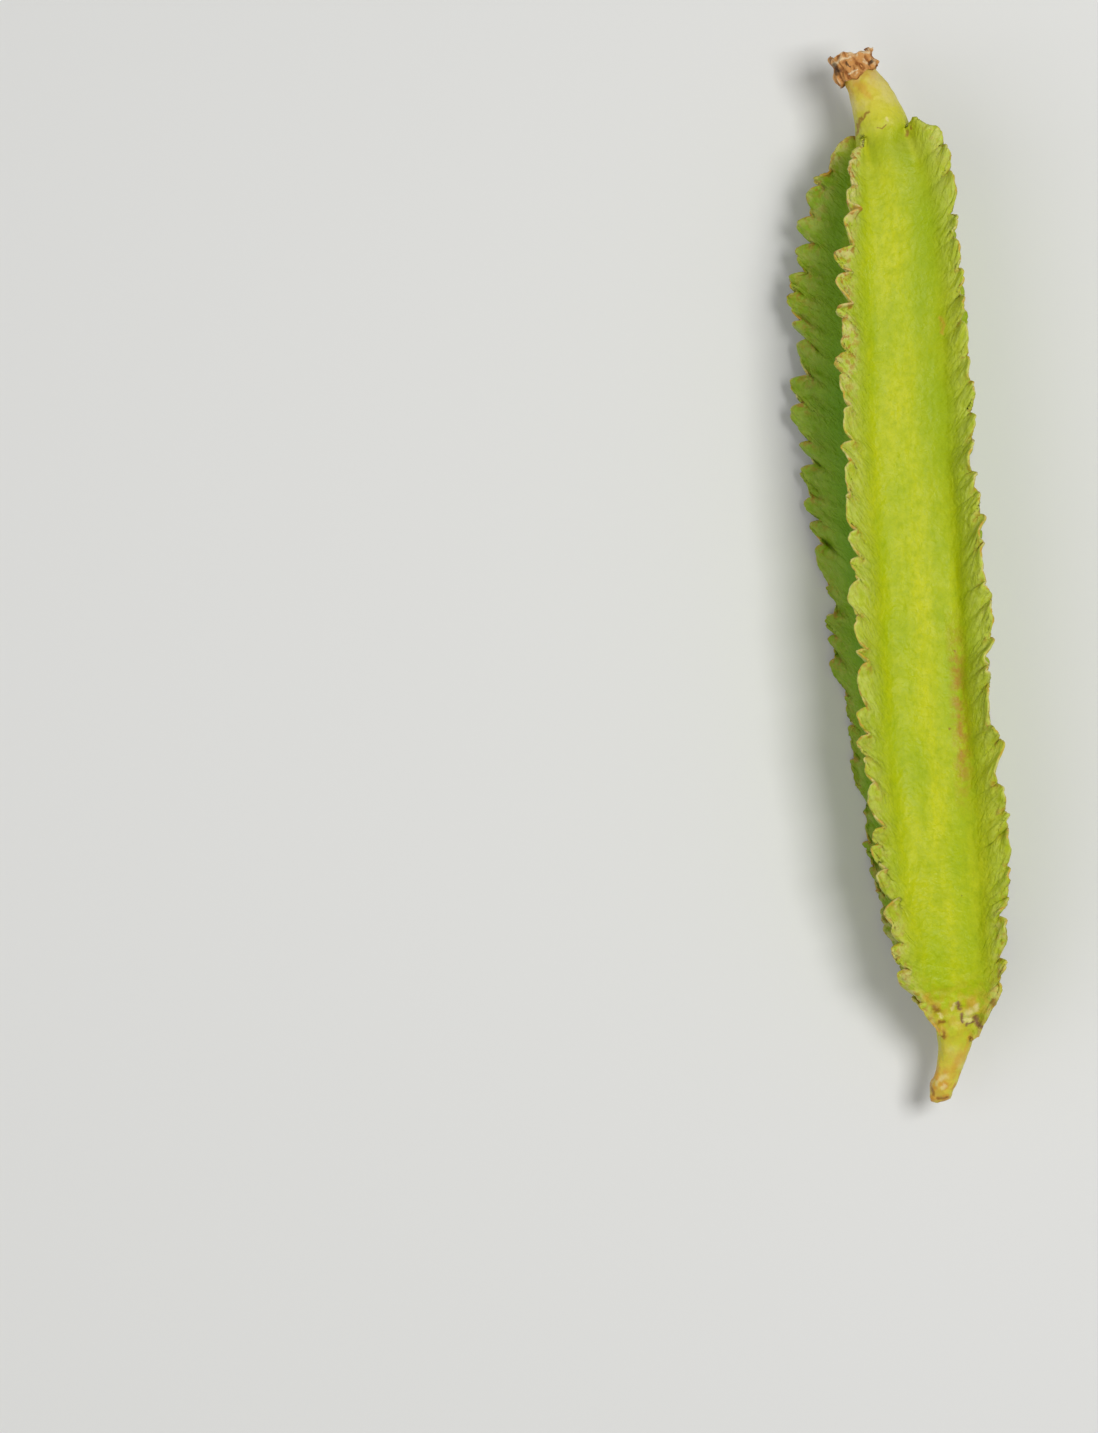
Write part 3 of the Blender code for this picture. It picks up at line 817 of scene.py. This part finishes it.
PURPLE_MARKS = [
    (7.6, 138.9, 8.1, 139.7, 0.28), (8.2, 140.7, 8.5, 141.6, 0.22), (10.4, 141.0, 10.8, 141.9, 0.38),
    (10.8, 141.9, 11.2, 142.5, 0.24), (9.0, 142.1, 10.2, 141.6, 0.2),
]
CREAM_MARKS = [
    (-2.95, 9.2, -2.9, 9.4, 0.14), (9.0, 140.4, 9.6, 140.2, 0.42), (8.9, 141.4, 9.6, 141.3, 0.36),
    (10.2, 139.9, 10.4, 139.3, 0.3), (7.2, 139.0, 7.0, 139.8, 0.22), (5.0, 140.5, 5.4, 141.0, 0.2),
    (5.4, 150.2, 6.1, 149.7, 0.32), (5.9, 151.2, 5.6, 151.7, 0.26), (4.7, 151.0, 4.9, 150.6, 0.2),
]
# Orange strokes: withered orange patches and veins. Those at the neck's left side below the calyx are
# painted shadow, and those along the beak's left edge are partly its own orange and partly painted shadow.
ORANGE_MARKS = [
    (9.6, 138.4, 9.8, 139.2, 0.7), (5.0, 38.5, 5.3, 39.6, 0.3), (5.3, 39.6, 5.2, 40.8, 0.24),
    (-9.2, 4.0, -8.6, 5.4, 0.8), (-7.4, 3.9, -6.4, 4.8, 0.5), (-6.2, 5.2, -5.4, 6.0, 0.4),
    (4.8, 141.8, 5.9, 143.6, 0.5), (9.7, 143.4, 8.6, 147.4, 0.3), (6.2, 149.4, 4.6, 152.4, 1.2),
    (4.4, 151.6, 4.9, 153.2, 0.6), (8.4, 146.4, 7.0, 148.8, 0.5), (3.0, 138.0, 4.6, 139.4, 0.5),
]
# The same of the calyx.
# Painted shade in the hollow mouth at the calyx's left end, and two small dark strokes beside it.
HOLLOW_SHADE_MARKS = [
    (-10.5, 1.5, -9.9, 2.2, 0.4), (-8.8, 1.0, -8.3, 1.6, 0.12), (-5.6, 1.2, -5.0, 0.6, 0.14),
]
# Painted highlight: cream strokes along the calyx's edges, most on its upper left edge.
EDGE_HIGHLIGHT_MARKS = [
    (-10.9, 1.4, -9.6, 0.5, 0.2), (-9.6, 0.5, -8.2, 0.2, 0.16), (-6.4, -0.5, -4.8, -0.7, 0.14),
    (-4.6, 0.0, -4.4, 0.3, 0.2), (-8.4, 2.6, -7.2, 2.1, 0.14),
]
# The marks in the order in which they are laid on, with strength and colour.
POD_MARKS = [
    (ORANGE_MARKS, 0.5, WITHER_AND_SHADOW_ORANGE),
    (CREAM_MARKS, 0.6, SCAR_CREAM),
    (BROWN_MARKS, 0.75, SCAB_BROWN),
    (PURPLE_MARKS, 0.8, BRUISE_PURPLE),
]
CALYX_MARKS = [
    (EDGE_HIGHLIGHT_MARKS, 0.9, CALYX_CREAM),
    (HOLLOW_SHADE_MARKS, 0.9, CALYX_HOLLOW_SHADE),
]
STROKE_TEAR = (0.9, 1.1)  # over what length a stroke is torn, and how far
STROKE_EDGE = (0.2, 1.9)  # where it fades and ends, in half widths

# Dark streaks, dimples and grain: size, detail, stretch, roughness, two noise levels, strength.
DARK_BLOTCHES = [
    (1.0, 3.0, (1.0, 0.12, 1.0), 0.5, 0.42, 0.7, 0.18),
    (2.2, 4.0, (1.0, 1.0, 1.0), 0.6, 0.44, 0.68, 0.26),
    (0.8, 4.0, (1.0, 0.8, 1.0), 0.65, 0.42, 0.7, 0.34),
]
# How much yellower the painted highlight band in the middle of the upper face is.
HIGHLIGHT_YELLOW = 0.4  # in the middle of the upper face
CRINKLE = (0.8, 1.7)  # size of the wings' crinkles along the pod and across it
SPECK_GAP = 4.2
SPECK_EDGE = (0.018, 0.045)  # in gaps

# The lights: place in metres, width, strength.
LIGHTS = {"key": ((0.3, 0.08, 0.78), 0.3, 4.5), "fill": ((-0.5, -0.2, 0.6), 0.8, 1.9)}
SKY_STRENGTH = 0.27


def strokes(n, shift, lines):
    """A mask that is 1 on ragged strokes, seen from above."""
    size, far = STROKE_TEAR
    tear = n.add("TexNoise", {"Vector": n.place, "Scale": 1 / (size * MM), "Detail": 3.0})
    inputs = {0: tear.outputs["Color"], 1: (0.5, 0.5, 0.5)}
    tear = n.add("VectorMath", inputs, operation="SUBTRACT").outputs[0]
    inputs = {0: tear, 1: (far * MM, far * MM, 0.0), 2: n.stretched((1.0, 1.0, 0.0))}
    place = n.add("VectorMath", inputs, operation="MULTIPLY_ADD").outputs[0]
    mask = 0.0
    for x, s, next_x, next_s, half in lines:
        start = Vector(((x + shift[0]) * MM, (shift[1] - s) * MM, 0.0))
        along = Vector(((next_x - x) * MM, (s - next_s) * MM, 0.0))
        rest = n.add("VectorMath", {0: place, 1: tuple(start)}, operation="SUBTRACT").outputs[0]
        inputs = {0: rest, 1: tuple(along / along.length_squared)}
        share = n.add("VectorMath", inputs, operation="DOT_PRODUCT").outputs["Value"]
        share = n.add("Math", {0: share, 1: 0.0}, operation="ADD", use_clamp=True).outputs[0]
        nearest = n.add("VectorMath", {0: tuple(along), 3: share}, operation="SCALE").outputs[0]
        apart = n.add("VectorMath", {0: rest, 1: nearest}, operation="DISTANCE").outputs["Value"]
        inner, outer = (edge * half * MM for edge in STROKE_EDGE)
        mask = n.math("MAXIMUM", mask, n.ramp(apart, inner, outer, 1.0, 0.0))
    return n.times(mask, n.attribute("above"))


def marked(n, colour, shift, marks):
    """The colour with the strokes of each kind laid over it."""
    for lines, strength, other in marks:
        colour = n.tint(colour, strokes(n, shift, lines), strength, other)
    return colour


def body_colour(n):
    """Yellow and green mottles with darker blotches and a painted highlight band, painted shade by the
    upper right wing and past the neck, ripe at both ends, and painted deep green shade underneath.
    """
    mottle = n.spots(6.0, 0.32, 0.68, 0.1, 0.85, detail=4.0, stretch=(1.0, 0.4, 1.0))
    # The painted highlight band along the upper face, laid on as yellower mottling.
    mottle = n.math("ADD", mottle, n.times(n.attribute("sun"), HIGHLIGHT_YELLOW))
    colour = n.mix(mottle, BODY_GREEN, BODY_YELLOW)
    for size, detail, stretch, roughness, low, high, strength in DARK_BLOTCHES:
        dark = n.spots(size, low, high, detail=detail, stretch=stretch, roughness=roughness)
        colour = n.tint(colour, dark, strength, BODY_DARK)
    # Painted shade: darker where the upper right wing shades the body, and just past the neck.
    colour = n.mix(n.attribute("dim"), colour, BODY_DARK)
    colour = n.mix(n.attribute("ripe"), colour, NECK_YELLOW)
    colour = n.tint(colour, n.attribute("gold"), n.spots(1.8, 0.3, 0.65, 0.3, 0.9), NECK_GOLD)
    colour = n.tint(colour, n.attribute("ripe"), n.spots(3.2, 0.44, 0.68, 0.0, 0.5), SCAR_CREAM)
    # Painted shade under the pod, as deep green.
    return n.mix(n.attribute("under_shade"), colour, UNDER_SHADE_GREEN)


def wing_colour(n, colour, margin, crinkle):
    """Milky crests, partly the wings' own paler tone and partly painted highlight, and painted shade in the
    valleys along the wings.
    """
    pale_lit_crest = n.times(n.ramp(margin, 0.1, 0.8), n.ramp(crinkle, 0.3, 0.7, 0.3, 1.0))
    colour = n.tint(colour, pale_lit_crest, n.attribute("milky_and_highlight"), MILKY_AND_HIGHLIGHT_GREEN)
    # Painted shade in the crinkles' valleys.
    valley_shade = n.times(n.ramp(margin, 0.1, 0.6), n.ramp(crinkle, 0.34, 0.48, 1.0, 0.0))
    return n.tint(colour, valley_shade, 0.16, BODY_DARK)


def worn_colour(n, colour, margin):
    """Browned notches, torn tan margins, pale rims, a brown crease and withered ends."""
    notch = n.times(n.attribute("notch"), n.spots(0.8, 0.42, 0.62))
    colour = n.tint(colour, notch, 0.8, RIM_BROWN)
    torn = n.times(n.attribute("fray"), n.ramp(margin, 0.45, 0.85))
    colour = n.tint(colour, n.times(torn, n.spots(1.4, 0.42, 0.6, detail=4.0)), 0.7, RIM_CREAM)
    colour = n.tint(colour, n.times(torn, n.spots(0.9, 0.51, 0.63, detail=4.0)), 0.8, RIM_BROWN)
    rim = n.times(n.ramp(margin, 0.97, 1.0), n.spots(1.1, 0.35, 0.65, 0.25, 0.8))
    rim_tint = n.mix(n.spots(1.7, 0.42, 0.58, detail=2.0), RIM_CREAM, WITHER_AND_SHADOW_ORANGE)
    colour = n.mix(rim, colour, rim_tint)
    crease = n.times(n.attribute("crease"), n.spots(1.5, 0.33, 0.62, detail=4.0, roughness=0.7))
    colour = n.tint(colour, crease, 0.8, RIM_BROWN)
    dry = n.spots(1.3, 0.4, 0.62, detail=4.0)
    return n.tint(colour, n.attribute("wither"), dry, WITHER_AND_SHADOW_ORANGE)


def pod_material(shift):
    """Waxy green skin: mottled and streaked, pale along the wings with painted highlight on their crests
    and painted shade in their valleys, browned at notches and rims, with painted highlight and shade on the
    body.
    """
    n = Nodes("pod_skin")
    margin = n.attribute("margin")
    crinkle = n.woven(*CRINKLE)
    colour = wing_colour(n, body_colour(n), margin, crinkle)
    colour = marked(n, worn_colour(n, colour, margin), shift, POD_MARKS)
    cells = n.add("TexVoronoi", {"Vector": n.place, "Scale": 1 / (SPECK_GAP * MM), "Randomness": 1.0})
    specks = n.ramp(cells.outputs["Distance"], *SPECK_EDGE, 1.0, 0.0)
    colour = n.tint(colour, specks, 0.75, SPECK_OLIVE)

    height = n.times(n.noise(0.7, 4.0, roughness=0.6), 0.18)
    height = n.math("ADD", height, n.times(n.noise(1.7, 2.0, (1.0, 0.7, 1.0)), 0.3))
    height = n.math("ADD", height, n.times(crinkle, n.ramp(margin, 0.0, 0.5, 0.0, 0.28)))
    return n.finish(
        colour,
        n.spots(2.2, 0.3, 0.7, 0.34, 0.5),
        height,
        1.0,
        Subsurface_Weight=0.12,
        Subsurface_Radius=(0.9, 1.0, 0.15),
        Subsurface_Scale=1.2 * MM,
        Specular_IOR_Level=0.22,
    )


def calyx_material(shift):
    """Dry papery brown, with paler torn edges and fibres along it, painted shade in its crumples' valleys,
    hollow and lip, and painted highlight on its ridges and upper left edge.
    """
    n = Nodes("calyx_husk")
    # Brown in the crumples' valleys and cream on their ridges: painted shade and painted highlight, mixed
    # with random blotches.
    patch = n.math("SUBTRACT", n.noise(1.2, 5.0, roughness=0.6), n.attribute("relief"))
    colour = n.mix(n.ramp(patch, 0.4, 0.75), CALYX_TAN, CALYX_BROWN)
    colour = n.mix(n.ramp(patch, 0.1, 0.34, 0.7, 0.0), colour, CALYX_CREAM)
    colour = n.tint(colour, n.spots(0.4, 0.45, 0.7, stretch=(1.0, 0.3, 1.0)), 0.5, CALYX_TAN)
    colour = n.tint(colour, n.attribute("edge"), n.spots(0.9, 0.4, 0.6), CALYX_CREAM)
    # Its dark lower lip: part its own dark edge, part painted shade where it meets the neck.
    colour = n.mix(n.attribute("lip"), colour, CALYX_BROWN)
    colour = marked(n, colour, shift, CALYX_MARKS)
    roughness = n.spots(0.9, 0.3, 0.7, 0.55, 0.85, detail=2.0)
    return n.finish(colour, roughness, n.noise(0.35, 4.0), 0.2, Specular_IOR_Level=0.35)


def pod_attributes(places):
    """What the skin's finish needs to know of each point of the pod."""
    row, wing, s, step, side = (places[name] for name in ("row", "wing", "s", "step", "side"))
    on_blade = places["blade"] > 0
    top = (wing == 0) & (side == FACE)
    beside = (wing == 0) & (side == FAR)

    tooth = places["q"] - np.floor(places["q"])
    apart = np.minimum(tooth, 1 - tooth) * TOOTH_PITCH
    first, last = NOTCH_ROWS
    notch = bell(apart, NOTCH_SPREAD) * np.clip((row - first) / (last - first), 0, 1)
    # A painted highlight: a lighter band along the middle of the upper face, where the key light falls.
    middle, spread = HIGHLIGHT_SPREAD
    sun = np.where(top, bell(step - middle, spread), 0.0)

    # Painted shade on the upper face by the upper right wing and just past the neck, and up that wing's
    # other side.
    middle, spread, strength = PAINTED_SHADE_COLLAR
    over_face, up_blade = PAINTED_SHADE_SPREAD
    shade = level(PAINTED_SHADE_BESIDE, s)
    dim = np.clip(strength * bell(s - middle, spread) + shade * bell(step, over_face), 0, PAINTED_SHADE_MOST)
    dim = np.where(top, dim, np.where(beside, shade * bell(row, up_blade), 0.0))

    # Painted shade: deep green on the lower wings and the faces beside them, under the pod.
    own, later = UNDER_SHADE_MOST[wing], UNDER_SHADE_MOST[(wing + 1) % len(WINGS)]
    under_shade = np.where(on_blade, own * level(UNDER_SHADE_ROWS, row), 0.0)
    under_shade = np.where(side == FACE, UNDER_SHADE_FACE * (own + (later - own) * step), under_shade)

    over_face, up_blade = CREASE_SPREAD
    crease = np.where(beside, np.clip(1 - row / up_blade, 0, 1), 0.0)
    crease = np.maximum(crease, np.where(top, np.clip(1 - step / over_face, 0, 1), 0.0))

    fray = np.choose(wing, [level(table, s) for table in FRAY])
    across = row * np.choose(wing, [smooth(table, s, 4) for table in WINGS])
    slanted = places["q"] * TOOTH_PITCH + FURROW_SLANT * across
    return {
        "margin": row,
        "notch": notch,
        "ripe": level(RIPE, s),
        "wither": level(WITHER, s),
        "under_shade": under_shade * level(UNDER_SHADE_ENDS, s),
        "gold": level(GOLD, s),
        "sun": sun,
        "dim": dim * level(PAINTED_SHADE_ENDS, s),
        "milky_and_highlight": np.choose(wing, MILKY_AND_HIGHLIGHT_MOST) * level(MILKY_AND_HIGHLIGHT_FADE, s),
        "fray": np.where(on_blade, fray, 0.0),
        "weave": np.stack([slanted, across, WEAVE_GAP * wing], axis=-1),
        "above": places["above"],
        "crease": crease * level(CREASE_ENDS, s),
    }


def around(values, turns):
    """Values that stand evenly round a circle, read smoothly at the turns given, 0 to 1."""
    count = len(values)
    place = np.asarray(turns, float) * count
    i = np.floor(place).astype(int)
    f = place - i
    f = f * f * (3 - 2 * f)
    return values[i % count] * (1 - f) + values[(i + 1) % count] * f


def crumple(sizes, x, y, row, seed=0):
    """Noise with a size, a size in rows and a height, round one row of the calyx."""
    return sizes[2] * noise_at(x / sizes[0], y / sizes[0], row / sizes[1] + seed)


def fine_calyx():
    """The fine calyx's rings, from its socket, round its outside and torn rim, to its scar."""
    draw = random.Random(CALYX_SEED)
    tear = np.array([draw.uniform(-1, 1) for _ in range(CALYX_SIDES)])
    fold = np.array([draw.uniform(-1, 1) for _ in range(CALYX_SIDES)])
    turns = np.arange(CALYX_FINE_SIDES) / CALYX_FINE_SIDES
    angle = 2 * np.pi * turns
    table = [(row, *values) for row, values in enumerate(CALYX_PROFILE)]
    first, last = CALYX_CRUMPLED
    large, small_size, small = RIM_TEAR
    rings = []
    finish = {"edge": [], "lip": [], "relief": []}
    for row in np.linspace(0, len(table) - 1, CALYX_FINE_ROWS):
        s, radius, ragged = (smooth(table, row, column) for column in (1, 2, 3))
        outside = np.clip(row - first, 0, 1) * np.clip(last - row, 0, 1)
        x, y = np.cos(angle) * radius, np.sin(angle) * radius
        crease = np.abs(crumple(CALYX_CREASE, x, y, row, SEEDS["calyx_crease"]))
        relief = crumple(CALYX_LUMP, x, y, row) - crease
        fine_tear = small * noise_at(x * small_size, y * small_size, SEEDS["calyx_tear"])
        along = s + CALYX_TEAR * (large * around(tear, turns) + fine_tear) * ragged
        along = along + outside * crumple(CALYX_LIFT, x, y, row, SEEDS["calyx_lift"])
        radii = radius + CALYX_WRINKLE * around(fold, turns) * ragged + relief * outside
        rings.append(in_section(along, radii * np.cos(angle), radii * np.sin(angle)))
        added, scale = CALYX_DEPTH
        finish["relief"].append((relief + added) * outside * scale)
        middle, width = CALYX_EDGE
        finish["edge"].append(np.full(len(turns), bell(row - middle, width)))
        middle, width, strength = CALYX_LIP_AND_SHADE
        finish["lip"].append(np.full(len(turns), strength * bell(row - middle, width)))
    finish = {name: np.array(values) for name, values in finish.items()}
    finish["above"] = np.broadcast_to(np.clip(np.sin(angle) * FACING, 0, 1), finish["lip"].shape)
    return np.array(rings), finish


def add_camera(shift):
    """A camera straight over the photograph's middle, at its scale."""
    data = bpy.data.cameras.new("camera")
    data.sensor_width = SENSOR
    data.lens = SENSOR * (CAMERA_HEIGHT - SIZE_PLANE) / (PHOTO_SIZE[1] * PIXEL)
    data.clip_start = 0.01
    camera = bpy.data.objects.new("camera", data)
    x = (PHOTO_SIZE[0] / 2 - STEM_PIXEL[0]) * PIXEL + shift[0]
    y = -(PHOTO_SIZE[1] / 2 - STEM_PIXEL[1]) * PIXEL + shift[1]
    camera.location = (x * MM, y * MM, CAMERA_HEIGHT * MM)
    bpy.context.scene.collection.objects.link(camera)
    bpy.context.scene.camera = camera


def add_floor():
    """A plain pale floor."""
    half = 3.0
    mesh = bpy.data.meshes.new("floor")
    corners = [(-half, -half, 0), (half, -half, 0), (half, half, 0), (-half, half, 0)]
    mesh.from_pydata(corners, [], [(0, 1, 2, 3)])
    floor = bpy.data.objects.new("floor", mesh)
    material = bpy.data.materials.new("floor")
    material.use_nodes = True
    shader = material.node_tree.nodes["Principled BSDF"]
    shader.inputs["Base Color"].default_value = (0.72, 0.72, 0.70, 1.0)
    shader.inputs["Roughness"].default_value = 0.7
    mesh.materials.append(material)
    bpy.context.scene.collection.objects.link(floor)


def add_light(name, place, size, energy):
    """A square soft light aimed at the pod."""
    data = bpy.data.lights.new(name, "AREA")
    data.size = size
    data.energy = energy
    light = bpy.data.objects.new(name, data)
    light.location = place
    light.rotation_euler = (-Vector(place)).to_track_quat("-Z", "Y").to_euler()
    bpy.context.scene.collection.objects.link(light)


def add_sky(strength):
    """Even white light from all round."""
    world = bpy.data.worlds.new("sky")
    world.use_nodes = True
    background = world.node_tree.nodes["Background"]
    background.inputs["Color"].default_value = (1.0, 1.0, 1.0, 1.0)
    background.inputs["Strength"].default_value = strength
    bpy.context.scene.world = world


def settle(piece, node):
    """Puts a fine piece in the place of its CAD node."""
    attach(piece, "root")
    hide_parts(node)


coarse = np.maximum(pod_rings(COARSE), [-np.inf, -np.inf, 0.0])
shift = np.array(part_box("pod")[0]) / MM - coarse.reshape(-1, 3).min(axis=0)
shift[2] = 0.0

add_camera(shift)
bpy.context.scene.view_settings.view_transform = "Standard"

rings, places = fine_pod()
pod = loft("pod_skin", rings, shift, pod_attributes(places), pod_material(shift))
settle(pod, "pod")
calyx_rings, calyx_finish = fine_calyx()
# Taken from its scar to its socket, so that its faces look outwards.
calyx_finish = {name: values[::-1] for name, values in calyx_finish.items()}
calyx = loft("calyx_husk", calyx_rings[::-1], shift, calyx_finish, calyx_material(shift))
settle(calyx, "calyx")

add_floor()
for name, (place, size, energy) in LIGHTS.items():
    add_light(name, place, size, energy)
add_sky(SKY_STRENGTH)
